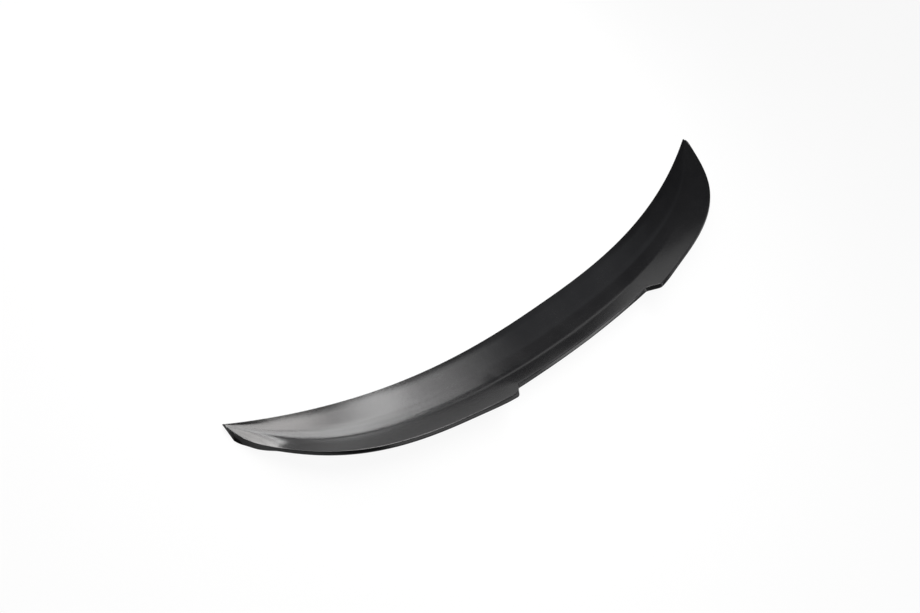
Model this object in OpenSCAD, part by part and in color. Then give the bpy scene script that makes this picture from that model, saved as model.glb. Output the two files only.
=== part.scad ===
// Rear spoiler for a saloon's boot lid: one moulded skin with a kicked-up rear,
// a turned-over lip and a recessed middle between two wings with squared tips.
// It lies as fitted: X runs across the car, +Y to the front, +Z up, and the plane
// that is bonded to the lid is Z = 0. The underside is open behind that plane.

/* [Plan] */
// Width across the two tips
span = 1200; // [1000:10:1400]
// How far the front edge bows to the rear at the middle
bow = 116; // [70:1:140]
// Fullness of the bow, 2 being a parabola
bow_power = 2.5; // [2:0.1:3]
// Depth of a wing, from the front edge to the full trailing edge
chord = 105; // [90:1:125]
// Depth that the wings taper to at the tips
tip_chord = 33; // [31:1:45]
// Fullness of the wings in plan
wing_power = 9.3; // [7:0.1:12]
// How gently that taper sets in and ends, 1 being a plain power curve
taper = 1.3; // [1:0.05:1.6]
// Radius in plan of the crest's corner at each tip
end_r = 28; // [15:1:29]
// Radius in plan of the same corner at the lip's lower edge
low_r = 7; // [2:0.5:12]

/* [Kick] */
// Height that the skin rises to at the middle, before the recess is taken off
kick = 63; // [40:1:75]
// How much less the rise tends to at the tips
kick_fall = 13; // [0:1:30]
// Rise that is left at the tips
tip_rise = 4; // [1:0.5:5]
// Fullness of the rise along a wing
rise_power = 10; // [8:0.5:13]
// How gently the rise runs out at the tips
rise_round = 1.4; // [1:0.05:1.6]
// Width of the flat land that is bonded to the lid
land = 36; // [20:1:50]
// Width that the land narrows to at the tips, where the kick lies down
tip_land = 4; // [2:0.5:8]
// Radius of the hollow between the land and the kick, at the middle
kick_r = 52; // [25:1:80]

/* [Recess] */
// Width of the recessed middle at its floor
recess_w = 356; // [250:2:420]
// How far the trailing edge is cut back there, along the slope
recess = 16; // [8:0.5:24]
// Sideways run of each step between the recess and a wing
step_run = 28; // [20:1:50]
// Share of the step that each of its rounded corners takes
step_corner = 0.3; // [0.1:0.05:0.5]
// How far the wings are drawn out beside the steps
flare = 5; // [0:0.5:8]
// Distance from a step over which that fades
flare_run = 60; // [30:5:100]

/* [Skin and lip] */
// Thickness of the moulded skin
skin = 3.6; // [2:0.1:4.5]
// Length over which the front edge tapers, in a round, from that thickness
nose = 14; // [6:0.5:18]
// Height of the blunt front edge that is left
edge = 1; // [0.4:0.1:1.4]
// Width of the turned-over lip's face
lip = 8.5; // [5:0.5:10]
// How much wider the face is beside the steps
lip_flare = 1.5; // [0:0.5:4]
// Thickness of the lip's wall
lip_wall = 4; // [2.5:0.1:5]
// Radius on the crest, where skin and lip meet
crest_r = 1.4; // [0.5:0.1:1.8]
// Radius on the lip's outer lower edge
lip_r = 3.2; // [0.5:0.1:4]
// Radius in the inner corner between skin and lip
root_r = 1.5; // [0.5:0.1:2]
// Length at each tip in which the lip comes down to the lid
seat_run = 39; // [25:1:60]
// Length at each tip in which the lip stays on the lid
seat_end = 15; // [8:1:20]
// Length at each tip in which the open underside closes
tip_close = 8; // [4:1:12]

/* [Hidden] */

half = span / 2;
step_in = recess_w / 2;
step_out = step_in + step_run;
// Near the tips the thicknesses stay below these shares of the depth there
skin_share = 0.3;
face_share = 0.4;
wall_share = 0.5;
// The corners' radii stay below this share of the surfaces beside them, and below
// the second one for the lip's lower edge, where only one side of the wall is rounded
round_share = 0.4;
low_share = 0.8;
// The nose takes no more than this share of the land, and the blunt edge of the skin
nose_share = 0.8;
edge_share = 0.4;
// The hollow's radius falls with the rise and stays below this share of the largest
// that fits
hollow_share = 0.98;

// Distance over which the trailing edge's slant in plan is taken
slant_run = 1;

// Steps of the mesh round the section
nose_steps = 4;
top_steps = 12;
under_steps = 9;
corner_steps = 3;
// Steps of the mesh across the car, for the recess, a step and a wing
floor_steps = 10;
riser_steps = 14;
wing_steps = 44;

function share(x) = abs(x) / half;

// How far a corner of radius r in plan takes the edge forward, close to a tip
function end_cut(x, r) =
    let (w = max(1 - (half - abs(x)) / r, 0)) r * (1 - sqrt(max(1 - w * w, 0)));

// Plan: the front edge, the depth behind it and the uncut trailing edge
function front_y(x) = -bow * (1 - pow(share(x), bow_power));
function depth(x) =
    tip_chord + (chord - tip_chord) * pow(1 - pow(share(x), wing_power), taper)
    - end_cut(x, end_r);
function edge_y(x) = front_y(x) - depth(x);

// How much of the kick there is: 1 along the span, fading to 0 at the tips
function kicked(x) = pow(1 - pow(share(x), rise_power), rise_round);

// Height that the skin rises to at the uncut trailing edge
function rise(x) = tip_rise + (kick - tip_rise - kick_fall * share(x)) * kicked(x);

// Share of the depth that the flat land takes
function land_share(x) = land / chord * kicked(x) + tip_land / tip_chord * (1 - kicked(x));

// 0 to 1 with a straight middle and rounded ends
function eased(v) =
    let (r = step_corner, k = 2 * r * (1 - r))
    v <= 0 ? 0
    : v < r ? v * v / k
    : v < 1 - r ? (v - r / 2) / (1 - r)
    : v < 1 ? 1 - (1 - v) * (1 - v) / k
    : 1;

// 0 in the recess, 1 on the wings
function on_wing(x) = eased((abs(x) - step_in) / step_run);

// 1 at a step's outer corner, fading to both sides
function beside_step(x) = exp(-pow((abs(x) - step_out) / flare_run, 2));

// How far the trailing edge is cut back at x, less than 0 where it is drawn out
function cut_back(x) = recess * (1 - on_wing(x)) - flare * on_wing(x) * beside_step(x);

// How far the lip has come down to the lid: 0 along the span, 1 at the tips, where
// the wall's lower edge lies flat on the lid
function seated(x) = eased((abs(x) - (half - seat_run)) / (seat_run - seat_end));

// How open the underside is: 1 along the span, 0 at the tips
function open_under(x) = 1 - eased((abs(x) - (half - tip_close)) / tip_close);

// A wall that follows the slanting edge is this much thicker along Y
function slant(x) =
    let (a = abs(x), b = max(a - slant_run, 0))
    a == b ? 1 : norm([1, (edge_y(a) - edge_y(b)) / (a - b)]);

// Height of a hollow of radius r from u = 0, which runs on straight at the given slope
function hollow(u, r, slope) =
    u <= 0 ? 0
    : u < r * sin(slope) ? r - sqrt(r * r - u * u)
    : r * (1 - cos(slope)) + (u - r * sin(slope)) * tan(slope);

function unit(v) = v / norm(v);

// Rounded corner at p between the unit directions to its two neighbours
function corner(p, from, to, r) =
    [for (k = [0 : corner_steps]) let (t = k / corner_steps)
        p + r * (pow(1 - t, 2) * from + pow(t, 2) * to)];

// Closed section at x, as points [distance behind the front edge, height]
function section(x) =
    let (
        d = depth(x),
        h = rise(x),
        t = min(skin, skin_share * d),
        flat = land_share(x) * d,
        across = d - flat,
        r = min(kick_r * h / kick, hollow_share * (across * across + h * h) / (2 * h)),
        slope = atan2(h - r, across) + asin(r / norm([across, h - r])),
        crest_u = d - cut_back(x) * cos(slope),
        crest = [crest_u, t + hollow(crest_u - flat, r, slope)],
        tilt = crest_u - flat < r * sin(slope) ? asin((crest_u - flat) / r) : slope,
        along = [cos(tilt), sin(tilt)],
        up = [-sin(tilt), cos(tilt)],
        face = min(lip + lip_flare * beside_step(x), face_share * d),
        low = [
            crest.x - face * up.x + end_cut(x, end_r) - end_cut(x, low_r),
            (crest.y - face * up.y) * (1 - seated(x))
        ],
        down = unit(low - crest),
        inward = unit((1 - seated(x)) * [down.y, -down.x] + seated(x) * [-1, 0]),
        wall = min(lip_wall * slant(x), wall_share * d),
        heel = [low.x + wall * inward.x, max(low.y + wall * inward.y, 0)],
        root_u = crest.x - t * up.x - wall * along.x,
        root = [root_u, hollow(root_u - flat, r + t, slope) * open_under(x)],
        round_top = min(crest_r, round_share * t),
        round_low = min(lip_r, round_share * face, low_share * wall),
        taper_u = min(nose, nose_share * flat),
        blunt = min(edge, edge_share * t),
        round_root = min(root_r, round_share * norm(heel - root), round_share * wall),
        top_end = crest.x - round_top * along.x,
        under_end = root.x - round_root * along.x
    )
    [for (p = concat(
        [[0, 0]],
        [for (k = [0 : nose_steps]) let (v = k / nose_steps)
            [taper_u * v, t - (t - blunt) * pow(1 - v, 2)]],
        [for (k = [0 : top_steps - 1]) let (u = flat + (top_end - flat) * k / top_steps)
            [u, t + hollow(u - flat, r, slope)]],
        corner(crest, -along, down, round_top),
        corner(low, -down, inward, round_low),
        [heel],
        corner(root, unit(heel - root), -along, round_root),
        [for (k = [1 : under_steps]) let (u = under_end + (flat - under_end) * k / under_steps)
            [u, hollow(u - flat, r + t, slope) * open_under(x)]]
    )) [p.x, max(p.y, 0)]];

// Stations across the car, close together at the steps and towards the tips
side = concat(
    [for (k = [1 : floor_steps]) step_in * k / floor_steps],
    [for (k = [1 : riser_steps]) step_in + step_run * k / riser_steps],
    [for (k = [1 : wing_steps]) half - (half - step_out) * pow(1 - k / wing_steps, 2)]
);
stations = concat([for (k = [len(side) - 1 : -1 : 0]) -side[k]], [0], side);

// The middle of each flat end, under the crest and within the skin's thickness
end_y = front_y(half) - depth(half);
end_z = min(skin, skin_share * depth(half)) / 2;

module spoiler() {
    rings = [for (x = stations) [for (p = section(x)) [x, front_y(x) - p.x, p.y]]];
    n = len(rings[0]);
    m = len(rings);
    left_end = n * m;
    right_end = left_end + 1;
    points = concat(
        [for (ring = rings) for (p = ring) p], [[-half, end_y, end_z], [half, end_y, end_z]]
    );
    middle = (min([for (p = points) p.y]) + max([for (p = points) p.y])) / 2;
    color("#2c2c2f")
        translate([0, -middle, 0])
            polyhedron(points, concat(
                [for (j = [0 : n - 1]) [left_end, j, (j + 1) % n]],
                [for (i = [0 : m - 2]) for (j = [0 : n - 1])
                    let (a = i * n + j, b = i * n + (j + 1) % n)
                    each i < len(side)
                        ? [[a, a + n, b + n], [b, a, b + n]]
                        : [[a, a + n, b], [b, a + n, b + n]]],
                [for (j = [0 : n - 1]) [right_end, (m - 1) * n + (j + 1) % n, (m - 1) * n + j]]
            ));
}

spoiler();
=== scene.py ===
import math

import bpy
import numpy as np
from mathutils import Matrix, Vector


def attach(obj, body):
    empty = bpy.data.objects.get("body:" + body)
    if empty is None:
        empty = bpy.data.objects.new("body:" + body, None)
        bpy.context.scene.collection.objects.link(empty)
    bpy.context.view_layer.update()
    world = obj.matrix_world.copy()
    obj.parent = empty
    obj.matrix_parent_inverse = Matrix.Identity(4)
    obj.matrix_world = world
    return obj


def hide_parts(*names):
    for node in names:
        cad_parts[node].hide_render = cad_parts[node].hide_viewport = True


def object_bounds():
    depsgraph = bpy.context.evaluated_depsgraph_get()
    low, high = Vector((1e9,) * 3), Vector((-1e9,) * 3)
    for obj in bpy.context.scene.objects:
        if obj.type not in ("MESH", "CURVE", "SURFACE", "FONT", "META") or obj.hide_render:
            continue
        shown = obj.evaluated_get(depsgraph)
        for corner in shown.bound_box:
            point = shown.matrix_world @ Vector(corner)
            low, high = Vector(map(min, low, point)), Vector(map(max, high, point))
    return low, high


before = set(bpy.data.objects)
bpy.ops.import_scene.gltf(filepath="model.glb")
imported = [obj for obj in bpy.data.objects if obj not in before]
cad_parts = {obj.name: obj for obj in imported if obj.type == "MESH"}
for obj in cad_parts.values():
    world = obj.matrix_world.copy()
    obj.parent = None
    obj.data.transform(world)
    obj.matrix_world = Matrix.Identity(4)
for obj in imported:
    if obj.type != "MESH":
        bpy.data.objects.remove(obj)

cad_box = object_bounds()
MM = 0.001

# Plan of the spoiler, in millimetres and with the same values as in the part's source:
# width, bow of the front edge, depth of a wing and at the tips, radii of the tips' corners
SPAN, BOW, BOW_POWER = 1200, 116, 2.5
CHORD, TIP_CHORD, WING_POWER, TAPER = 105, 33, 9.3, 1.3
END_R, LOW_R = 28, 7

# Kick: height at the middle and how it falls to the tips, flat land, hollow between the two
KICK, KICK_FALL, TIP_RISE, RISE_POWER, RISE_ROUND = 63, 13, 4, 10, 1.4
LAND, TIP_LAND, KICK_R = 36, 4, 52

# Recess: width, depth, run and corners of the steps, and how the wings are drawn out there
RECESS_W, RECESS, STEP_RUN, STEP_CORNER = 356, 16, 28, 0.3
FLARE, FLARE_RUN = 5, 60

# Skin, rounded front edge, lip and its radii, and lengths in which the tips close
SKIN, NOSE, EDGE, LIP, LIP_FLARE, LIP_WALL = 3.6, 14, 1, 8.5, 1.5, 4
CREST_R, LOWER_R, ROOT_R = 1.4, 3.2, 1.5
SEAT_RUN, SEAT_END, TIP_CLOSE = 39, 15, 8

# The thicknesses and radii stay below these shares of what carries them
SKIN_SHARE, FACE_SHARE, WALL_SHARE = 0.3, 0.4, 0.5
ROUND_SHARE, LOW_SHARE = 0.4, 0.8
NOSE_SHARE, EDGE_SHARE = 0.8, 0.4
HOLLOW_SHARE = 0.98

# How far the kick's upper part sags, so that its reflections turn as in the photo, from which
# share of the ramp on, a power that moves its deepest point up, and how much more it sags at the
# tips. On the underside it lags behind by a share of the skin's thickness.
SAG, SAG_FROM, SAG_POWER, TIP_SAG, UNDER_LAG = 1.8, 0.25, 1.3, 2, 0.7
# How much rounder the hollow is at the tips than in the part's source
TIP_SOFT = 1.2
# How fast the roll of the front edge fades over the nose, and how far it goes in the shading
ROLL_POWER, ROLL_DEPTH = 1.85, 4.8
# The rounded blunt front, as shares of the nose's length and of the blunt edge's height,
# and the share of the nose where its long round starts
BLUNT_FRONT, NOSE_FROM = ((0, 0), (0, 0.7), (0.012, 0.93)), 0.03
# How much the front edge, the crest, the lip's lower edge and its heel are rubbed
FRONT_WEAR, CREST_WEAR, LOW_WEAR, HEEL_WEAR = 0.3, 1, 0.8, 0.2

# Points round a section and sections along the spoiler
NOSE_POINTS, RAMP_POINTS, FACE_POINTS, UNDER_POINTS = 26, 49, 3, 33
ROUND_STEPS, ROOT_STEPS = 8, 6
RECESS_SECTIONS, STEP_SECTIONS, WING_SECTIONS = 24, 32, 120
SHARP_ANGLE = 38
# Keeps the drawn-in skin inside the solid's box in single precision
INSIDE = 0.999999

# Moulded ABS: its two blacks, bared and dusty colours, how much of these two shows, the range
# of its roughness and how much dust roughens and rubbing smooths it. The blacks and the roughness
# change over this range of the broad noise.
DEEP, FADED = (0.009, 0.009, 0.0097), (0.013, 0.013, 0.0138)
BARED, DUSTY = (0.06, 0.06, 0.062), (0.09, 0.088, 0.085)
BARED_SHARE, DUSTY_SHARE = 0.35, 0.5
ROUGHNESS, DUST_ROUGHENS, RUBBING_SMOOTHS = (0.155, 0.195), 0.12, 0.06
CLOUD_RANGE = (0.3, 0.7)
# Depths of the grain and of the waviness, in metres, and how strongly they show
GRAIN_DEPTH, PEEL_DEPTH, BUMP_STRENGTH = 0.00006, 0.0002, 0.25

# The plain floor: half its side and how far it lies under the part, in metres, how white the
# camera and glossy surfaces see it, and its greys for these and for all other light
FLOOR_HALF, FLOOR_DROP = 4.0, 0.0005
CAMERA_WHITE, GLOSS_WHITE = 0.93, 0.38
SEEN_GREY, PLAIN_GREY = (0.1, 0.1, 0.1, 1), (0.7, 0.7, 0.7, 1)

# Colour and strength of the dim room round the lamps
ROOM_COLOUR, ROOM_STRENGTH = (0.9, 0.92, 1.0, 1), 0.03

# The photo's view: its width and focal length in pixels, the camera's angles in degrees, and its
# distance and shifts in metres from the middle of the line between the front edge's two ends
PHOTO_WIDTH, FOCAL_PIXELS, SENSOR = 920, 986.90, 36.0
AZIMUTH, ELEVATION, ROLL = -78.7234, 52.6988, 43.1056
DISTANCE, SHIFT_LEFT, SHIFT_DOWN = 1.75, 0.06955, 0.09493
CLIP_START, CLIP_END = 0.05, 30

half = SPAN / 2
step_in = RECESS_W / 2
step_out = step_in + STEP_RUN


def share(x):
    return abs(x) / half


def end_cut(x, r):
    """How far a corner of radius r in plan takes the edge back near a tip."""
    w = max(1 - (half - abs(x)) / r, 0)
    return r * (1 - math.sqrt(max(1 - w * w, 0)))


def front_y(x):
    return -BOW * (1 - share(x) ** BOW_POWER)


def depth(x):
    full = max(1 - share(x) ** WING_POWER, 0) ** TAPER
    return TIP_CHORD + (CHORD - TIP_CHORD) * full - end_cut(x, END_R)


def kicked(x):
    """1 where the kick stands up in full, 0 where it lies down to the lid."""
    return max(1 - share(x) ** RISE_POWER, 0) ** RISE_ROUND


def rise(x):
    return TIP_RISE + (KICK - TIP_RISE - KICK_FALL * share(x)) * kicked(x)


def land_share(x):
    return LAND / CHORD * kicked(x) + TIP_LAND / TIP_CHORD * (1 - kicked(x))


def eased(v):
    """A straight rise from 0 to 1 with a rounded corner at either end."""
    r = STEP_CORNER
    k = 2 * r * (1 - r)
    if v <= 0:
        return 0.0
    if v < r:
        return v * v / k
    if v < 1 - r:
        return (v - r / 2) / (1 - r)
    return 1 - (1 - v) ** 2 / k if v < 1 else 1.0


def on_wing(x):
    return eased((abs(x) - step_in) / STEP_RUN)


def beside_step(x):
    return math.exp(-(((abs(x) - step_out) / FLARE_RUN) ** 2))


def cut_back(x):
    """How far the crest is taken back along the slope: the recess, less the flare of the wings."""
    return RECESS * (1 - on_wing(x)) - FLARE * on_wing(x) * beside_step(x)


def seated(x):
    """1 where the lip lies on the lid, at the tips."""
    return eased((abs(x) - (half - SEAT_RUN)) / (SEAT_RUN - SEAT_END))


def open_under(x):
    return 1 - eased((abs(x) - (half - TIP_CLOSE)) / TIP_CLOSE)


def rear_y(x):
    return front_y(x) - depth(x)


def slant(x):
    """How much longer the trailing edge is than its run across the car, over the last millimetre."""
    a = abs(x)
    b = max(a - 1, 0)
    if a == b:
        return 1.0
    return math.hypot(1, (rear_y(a) - rear_y(b)) / (a - b))


def hollow(u, r, slope):
    """Height of an arc of radius r that starts level at u = 0 and runs on straight at the slope."""
    if u <= 0:
        return 0.0
    if u < r * math.sin(slope):
        return r - math.sqrt(r * r - u * u)
    return r * (1 - math.cos(slope)) + (u - r * math.sin(slope)) * math.tan(slope)


def sagged(s):
    """0 up to a quarter of the way up the ramp and at the crest, 1 about two thirds of the way up."""
    return math.sin(math.pi * min(max((s - SAG_FROM) / (1 - SAG_FROM), 0), 1) ** SAG_POWER)


def unit(v):
    return v / np.linalg.norm(v)


def corner(p, start, end, r, steps):
    """A rounded corner at p, between the unit directions to its two neighbours."""
    return [p + r * ((1 - t) ** 2 * start + t * t * end) for t in np.linspace(0, 1, steps + 1)]


class Section:
    """The section at x, in distances behind the front edge (u) and heights above the lid."""

    def __init__(self, x):
        self.x, self.depth = x, depth(x)
        self.skin = min(SKIN, SKIN_SHARE * self.depth)
        self.flat = land_share(x) * self.depth
        self.place_crest(rise(x), self.depth - self.flat)
        self.place_lip()
        root_u = self.crest[0] - self.skin * self.up[0] - self.wall * self.along[0]
        self.root = np.array([root_u, self.under_z(root_u)])

    def place_crest(self, height, across):
        lying = 1 - kicked(self.x)
        widest = HOLLOW_SHARE * (across * across + height * height) / (2 * height)
        r = min(KICK_R * height / KICK * (1 + TIP_SOFT * lying), widest)
        slope = math.atan2(height - r, across) + math.asin(r / math.hypot(across, height - r))
        self.r, self.slope = r, slope
        self.sag = SAG * height / KICK * (1 + TIP_SAG * lying)
        crest_u = self.depth - cut_back(self.x) * math.cos(slope)
        self.reach = crest_u - self.flat
        self.crest = np.array([crest_u, self.skin + hollow(self.reach, r, slope)])
        tilt = math.asin(self.reach / r) if self.reach < r * math.sin(slope) else slope
        self.along = np.array([math.cos(tilt), math.sin(tilt)])
        self.up = np.array([-self.along[1], self.along[0]])

    def place_lip(self):
        x = self.x
        self.face = min(LIP + LIP_FLARE * beside_step(x), FACE_SHARE * self.depth)
        low = self.crest - self.face * self.up
        moved = end_cut(x, END_R) - end_cut(x, LOW_R)
        self.low = np.array([low[0] + moved, low[1] * (1 - seated(x))])
        self.down = unit(self.low - self.crest)
        square = np.array([self.down[1], -self.down[0]])
        level = np.array([-1.0, 0.0])
        self.inward = unit((1 - seated(x)) * square + seated(x) * level)
        self.wall = min(LIP_WALL * slant(x), WALL_SHARE * self.depth)
        self.heel = self.low + self.wall * self.inward
        self.heel[1] = max(self.heel[1], 0)

    def top_z(self, u):
        sag = self.sag * sagged((u - self.flat) / self.reach)
        return self.skin + hollow(u - self.flat, self.r, self.slope) - sag

    def under_z(self, u):
        sag = self.sag * sagged((u - UNDER_LAG * self.skin - self.flat) / self.reach)
        height = hollow(u - self.flat, self.r + self.skin, self.slope) - sag
        return max(height, 0) * open_under(self.x)

    def nose(self):
        """The blunt front edge and the round that leads from it to the full skin."""
        taper = min(NOSE, NOSE_SHARE * self.flat)
        blunt = min(EDGE, EDGE_SHARE * self.skin)
        front = [(taper * u, blunt * z) for u, z in BLUNT_FRONT]
        shares = np.linspace(NOSE_FROM, 1, NOSE_POINTS)
        back = [(taper * v, self.skin - (self.skin - blunt) * (1 - v) ** 2) for v in shares]
        rolls = [max(1 - u / taper, 0) ** ROLL_POWER for u, z in front + back]
        return front, back, rolls

    def outline(self):
        """The closed outline, with how near each point is to an exposed edge (worn) and how far
        it lies on the rolled front edge (rolled)."""
        inner = np.linalg.norm(self.heel - self.root)
        round_top = min(CREST_R, ROUND_SHARE * self.skin)
        round_low = min(LOWER_R, ROUND_SHARE * self.face, LOW_SHARE * self.wall)
        round_root = min(ROOT_R, ROUND_SHARE * inner, ROUND_SHARE * self.wall)
        top_end = self.crest[0] - round_top * self.along[0]
        under_end = self.root[0] - round_root * self.along[0]
        to_top = unit(np.array([top_end, self.top_z(top_end)]) - self.crest)
        to_under = unit(np.array([under_end, self.under_z(under_end)]) - self.root)

        front, nose, rolled = self.nose()
        shares = np.linspace(0, 1, RAMP_POINTS)[:-1]
        top = [self.flat + (top_end - self.flat) * s for s in shares]
        upper = corner(self.crest, to_top, self.down, round_top, ROUND_STEPS)
        lower = corner(self.low, -self.down, self.inward, round_low, ROUND_STEPS)
        shares = np.linspace(0, 1, FACE_POINTS + 2)[1:-1]
        face = [upper[-1] + (lower[0] - upper[-1]) * s for s in shares]
        root = corner(self.root, unit(self.heel - self.root), to_under, round_root, ROOT_STEPS)
        shares = np.linspace(0, 1, UNDER_POINTS)[1:]
        under = [under_end + (self.flat - under_end) * s for s in shares]

        points, worn = [], []
        for wear, stretch in (
            (FRONT_WEAR, front), (0, nose), (0, [(u, self.top_z(u)) for u in top]),
            (CREST_WEAR, upper), (0, face), (LOW_WEAR, lower), (HEEL_WEAR, [self.heel]),
            (0, root), (0, [(u, self.under_z(u)) for u in under]),
        ):
            points += [(p[0], max(p[1], 0.0)) for p in stretch]
            worn += [wear] * len(stretch)
        rolled += [0] * (len(points) - len(rolled))
        return points, worn, rolled


def stations():
    """Where the sections lie across the car, closer together at the steps and towards the tips."""
    side = [step_in * s for s in np.linspace(0, 1, RECESS_SECTIONS + 1)[1:]]
    side += [step_in + STEP_RUN * s for s in np.linspace(0, 1, STEP_SECTIONS + 1)[1:]]
    shares = np.linspace(0, 1, WING_SECTIONS + 1)[1:]
    side += [half - (half - step_out) * (1 - s) ** 2 for s in shares]
    return [-x for x in reversed(side)] + [0.0] + side


def lofted(rings, points):
    """Faces between consecutive rings of points, closed at either end round one more point each."""
    faces = []
    for i in range(rings - 1):
        for j in range(points):
            a, b = i * points + j, i * points + (j + 1) % points
            faces.append((a, a + points, b + points, b))
    last = points * (rings - 1)
    left, right = points * rings, points * rings + 1
    faces += [(left, j, (j + 1) % points) for j in range(points)]
    faces += [(right, last + (j + 1) % points, last + j) for j in range(points)]
    return faces


def drawn_in(verts):
    """In metres and centred as the solid is. The finer sections reach some hundredths of a
    millimetre past the solid's facets, so they are drawn in to its box."""
    ys, zs = [v[1] for v in verts], [v[2] for v in verts]
    middle = (min(ys) + max(ys)) / 2
    wide = (cad_box[1][1] - cad_box[0][1]) / (max(ys) - min(ys)) * INSIDE
    tall = cad_box[1][2] / max(zs) * INSIDE
    return [(x * MM, (y - middle) * wide, z * tall) for x, y, z in verts]


def make_spoiler():
    xs = stations()
    verts, worn, rolled = [], [], []
    for x in xs:
        outline, wear, roll = Section(x).outline()
        verts += [(x, front_y(x) - u, z) for u, z in outline]
        worn += wear
        rolled += roll
    for x in (-half, half):
        verts.append((x, rear_y(half), min(SKIN, SKIN_SHARE * depth(half)) / 2))
        worn.append(0)
        rolled.append(0)
    mesh = bpy.data.meshes.new("spoiler_skin")
    mesh.from_pydata(drawn_in(verts), [], lofted(len(xs), len(outline)))
    mesh.validate()
    for name, values in (("worn", worn), ("rolled", rolled)):
        mesh.attributes.new(name, "FLOAT", "POINT").data.foreach_set("value", values)
    mesh.polygons.foreach_set("use_smooth", [True] * len(mesh.polygons))
    mesh.set_sharp_from_angle(angle=math.radians(SHARP_ANGLE))
    mesh.materials.append(satin_black())
    skin = bpy.data.objects.new("spoiler_skin", mesh)
    bpy.context.collection.objects.link(skin)
    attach(skin, "root")
    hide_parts("spoiler")


class Nodes:
    """A material's node tree, with short calls to fill it."""

    def __init__(self, name):
        self.material = bpy.data.materials.new(name)
        self.material.use_nodes = True
        self.tree = self.material.node_tree
        self.tree.nodes.clear()

    def fill(self, socket, value):
        """Links an output to the socket, or sets its number or colour."""
        if isinstance(value, bpy.types.NodeSocket):
            self.tree.links.new(value, socket)
        else:
            socket.default_value = value

    def add(self, kind, settings=(), **inputs):
        node = self.tree.nodes.new("ShaderNode" + kind)
        for key, value in dict(settings).items():
            setattr(node, key, value)
        for key, value in inputs.items():
            self.fill(node.inputs[key.replace("_", " ")], value)
        return node

    def chain(self, kind, values, settings=()):
        """A node whose inputs take the values by their order, for nodes with inputs of one name."""
        node = self.add(kind, settings)
        for socket, value in zip(node.inputs, values):
            self.fill(socket, value)
        return node.outputs[0]

    def math(self, operation, a, b=0.0, clamp=False):
        return self.chain("Math", (a, b), {"operation": operation, "use_clamp": clamp})

    def remap(self, value, source, target):
        """Takes one range of a value to another, each given by its two ends."""
        node = self.add("MapRange", {"clamp": True}, Value=value)
        ends = {"From Min": source[0], "From Max": source[1], "To Min": target[0], "To Max": target[1]}
        for key, number in ends.items():
            node.inputs[key].default_value = number
        return node.outputs["Result"]

    def noise(self, where, scale, detail, roughness):
        node = self.add("TexNoise", Vector=where, Scale=scale, Detail=detail, Roughness=roughness)
        return node.outputs["Fac"]

    def blend(self, factor, first, second):
        """A colour between two, each an output or three numbers."""
        node = self.add("Mix", {"data_type": "RGBA"}, Factor=factor)
        colours = [socket for socket in node.inputs if socket.type == "RGBA"]
        for socket, colour in zip(colours, (first, second)):
            self.fill(socket, (*colour, 1) if isinstance(colour, tuple) else colour)
        return next(socket for socket in node.outputs if socket.type == "RGBA")


def satin_black():
    """Moulded ABS: fine grain, faint waviness, uneven black, specks of dust and rubbed edges."""
    m = Nodes("satin_black_abs")
    where = m.add("TexCoord").outputs["Object"]
    grain = m.noise(where, scale=2600.0, detail=2.0, roughness=0.55)
    peel = m.noise(where, scale=160.0, detail=2.0, roughness=0.5)
    cloud = m.noise(where, scale=9.0, detail=4.0, roughness=0.6)
    specks = m.noise(where, scale=900.0, detail=1.0, roughness=0.5)
    worn = m.add("Attribute", {"attribute_name": "worn"}).outputs["Fac"]
    rolled = m.add("Attribute", {"attribute_name": "rolled"}).outputs["Fac"]
    rubbed = m.math("MULTIPLY", worn, m.remap(cloud, (0.4, 0.65), (0.25, 1.0)))
    settled = m.remap(cloud, (0.45, 0.7), (0.1, 1.0))
    dusty = m.math("MULTIPLY", m.remap(specks, (0.62, 0.8), (0.0, 0.5)), settled)

    colour = m.blend(m.remap(cloud, CLOUD_RANGE, (0.0, 1.0)), DEEP, FADED)
    colour = m.blend(m.math("MULTIPLY", rubbed, BARED_SHARE), colour, BARED)
    colour = m.blend(m.math("MULTIPLY", dusty, DUSTY_SHARE), colour, DUSTY)

    rough = m.remap(cloud, CLOUD_RANGE, ROUGHNESS)
    rough = m.math("ADD", rough, m.math("MULTIPLY", dusty, DUST_ROUGHENS))
    smoothed = m.math("MULTIPLY", rubbed, RUBBING_SMOOTHS)
    rough = m.math("SUBTRACT", rough, smoothed, clamp=True)

    rim = m.add("Bump", {"invert": True}, Strength=1.0, Distance=ROLL_DEPTH * MM, Height=rolled)
    normal = rim.outputs["Normal"]
    for height, deep in ((grain, GRAIN_DEPTH), (peel, PEEL_DEPTH)):
        bump = m.add("Bump", Strength=BUMP_STRENGTH, Distance=deep, Height=height, Normal=normal)
        normal = bump.outputs["Normal"]
    skin = m.add("BsdfPrincipled", Base_Color=colour, Roughness=rough, IOR=1.5, Normal=normal)
    m.add("OutputMaterial", Surface=skin.outputs["BSDF"])
    return m.material


def pale_floor():
    """Plain paper that the camera sees white and glossy surfaces see pale, with the shadow on it."""
    m = Nodes("studio_floor")
    ray = m.add("LightPath").outputs
    seen = m.math("ADD", ray["Is Camera Ray"], ray["Is Glossy Ray"])
    seen = m.math("ADD", seen, ray["Is Transmission Ray"], clamp=True)
    white = m.remap(ray["Is Camera Ray"], (0, 1), (GLOSS_WHITE, CAMERA_WHITE))
    glow = m.add("Emission", Color=(1, 1, 1, 1), Strength=white).outputs[0]
    paper = m.add("BsdfDiffuse", Color=SEEN_GREY).outputs[0]
    shown = m.chain("AddShader", (glow, paper))
    plain = m.add("BsdfDiffuse", Color=PLAIN_GREY).outputs[0]
    m.add("OutputMaterial", Surface=m.chain("MixShader", (seen, plain, shown)))
    return m.material


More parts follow.
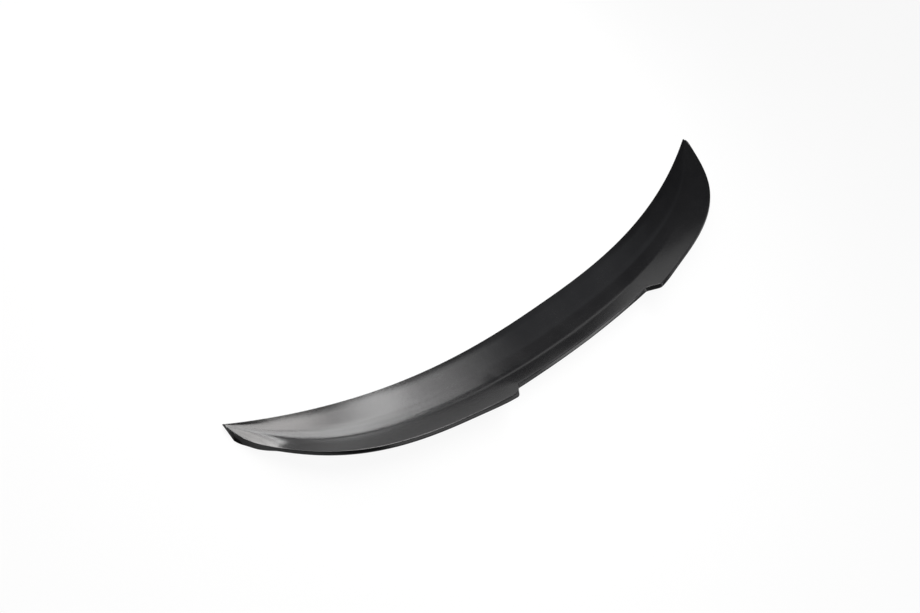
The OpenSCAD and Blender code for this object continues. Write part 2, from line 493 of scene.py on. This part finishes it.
def make_floor():
    s = FLOOR_HALF
    mesh = bpy.data.meshes.new("floor")
    mesh.from_pydata([(-s, -s, 0), (s, -s, 0), (s, s, 0), (-s, s, 0)], [], [(0, 1, 2, 3)])
    mesh.materials.append(pale_floor())
    floor = bpy.data.objects.new("floor", mesh)
    floor.location.z = -FLOOR_DROP
    bpy.context.collection.objects.link(floor)


def softbox(name, top, bottom, aim, width, radiance, tint=(1, 1, 1)):
    """A long area lamp between two points, turned towards the aim, as bright all over as the
    radiance says."""
    top, bottom, aim = Vector(top), Vector(bottom), Vector(aim)
    along = (top - bottom).normalized()
    height = (top - bottom).length
    centre = (top + bottom) / 2
    back = centre - aim
    back = (back - along * back.dot(along)).normalized()
    light = bpy.data.lights.new(name, "AREA")
    light.shape, light.size, light.size_y = "RECTANGLE", width, height
    light.energy, light.color = radiance * math.pi * width * height, tint
    box = bpy.data.objects.new(name, light)
    turn = Matrix((along.cross(back), along, back)).transposed().to_4x4()
    box.matrix_world = Matrix.Translation(centre) @ turn
    box.visible_camera = False
    bpy.context.collection.objects.link(box)


def curved_softbox(name, path, widths, aim, radiance, tint=(1, 1, 1)):
    """A lamp that arches over the object, from overhead down towards the floor in front of it."""
    for k, width in enumerate(widths):
        softbox(f"{name}_{k + 1}", path[k], path[k + 1], aim, width, radiance, tint)


def make_lights():
    # The two arches are the two bright fields on the wing at -X, with a darker gap between them
    curved_softbox(
        "tip_arch",
        path=((-0.22, -0.10, 1.09), (0.03, 0.51, 0.90), (0.155, 0.81, 0.54), (0.205, 0.93, 0.02)),
        widths=(0.22, 0.17, 0.145), aim=(-0.55, 0.05, 0), radiance=10.0, tint=(1, 0.985, 0.97),
    )
    curved_softbox(
        "wing_arch",
        path=((0.074, -0.21, 1.025), (0.224, 0.385, 0.893), (0.307, 0.70, 0.60), (0.355, 0.885, 0.02)),
        widths=(0.165, 0.118, 0.078), aim=(-0.39, 0.03, 0), radiance=10.3,
    )
    # The second one fades towards the middle in two dimmer strips and a wide dim panel
    curved_softbox(
        "wing_arch_edge",
        path=((0.285, -0.20, 0.985), (0.36, 0.33, 0.88), (0.41, 0.65, 0.62), (0.437, 0.80, 0.35)),
        widths=(0.09, 0.075, 0.06), aim=(-0.29, 0.03, 0), radiance=3.4,
    )
    curved_softbox(
        "wing_arch_fade",
        path=((0.41, -0.20, 0.96), (0.45, 0.31, 0.87), (0.48, 0.635, 0.63), (0.50, 0.79, 0.37)),
        widths=(0.13, 0.10, 0.08), aim=(-0.23, 0.0, 0), radiance=1.5,
    )
    softbox(
        "softbox_dim", top=(0.83, -0.35, 0.98), bottom=(0.83, 0.42, 0.80), aim=(0, 0, 0),
        width=0.56, radiance=0.2, tint=(0.9, 0.94, 1),
    )
    # Two low lamps behind the car light the lip, on the wing and in the recess
    softbox(
        "softbox_rear", top=(0.30, -1.95, 0.75), bottom=(0.30, -2.00, 0.35), aim=(-0.1, -0.1, 0),
        width=1.6, radiance=1.2,
    )
    softbox(
        "softbox_recess", top=(1.22, -1.30, 0.80), bottom=(1.27, -1.36, 0.40), aim=(0, -0.1, 0),
        width=0.75, radiance=2.3,
    )


def make_world():
    world = bpy.data.worlds.new("studio")
    world.use_nodes = True
    back = world.node_tree.nodes["Background"]
    back.inputs["Color"].default_value = ROOM_COLOUR
    back.inputs["Strength"].default_value = ROOM_STRENGTH
    bpy.context.scene.world = world


def make_camera():
    """The photo's view, from the fit of the outline."""
    azimuth, elevation, roll = (math.radians(v) for v in (AZIMUTH, ELEVATION, ROLL))
    back = Vector((
        math.sin(azimuth) * math.cos(elevation),
        -math.cos(azimuth) * math.cos(elevation),
        math.sin(elevation),
    ))
    side = Vector((math.cos(azimuth), math.sin(azimuth), 0))
    up = back.cross(side)
    right = side * math.cos(roll) + up * math.sin(roll)
    top = up * math.cos(roll) - side * math.sin(roll)
    front_middle = Vector((0, cad_box[1][1], 0))
    place = front_middle + back * DISTANCE - right * SHIFT_LEFT - top * SHIFT_DOWN
    turn = Matrix((right, top, back)).transposed().to_4x4()
    data = bpy.data.cameras.new("camera")
    data.sensor_fit, data.sensor_width = "HORIZONTAL", SENSOR
    data.lens = SENSOR * FOCAL_PIXELS / PHOTO_WIDTH
    data.clip_start, data.clip_end = CLIP_START, CLIP_END
    camera = bpy.data.objects.new("camera", data)
    camera.matrix_world = Matrix.Translation(place) @ turn
    bpy.context.collection.objects.link(camera)
    bpy.context.scene.camera = camera


make_spoiler()
make_floor()
make_lights()
make_world()
make_camera()
bpy.context.scene.view_settings.view_transform = "Standard"
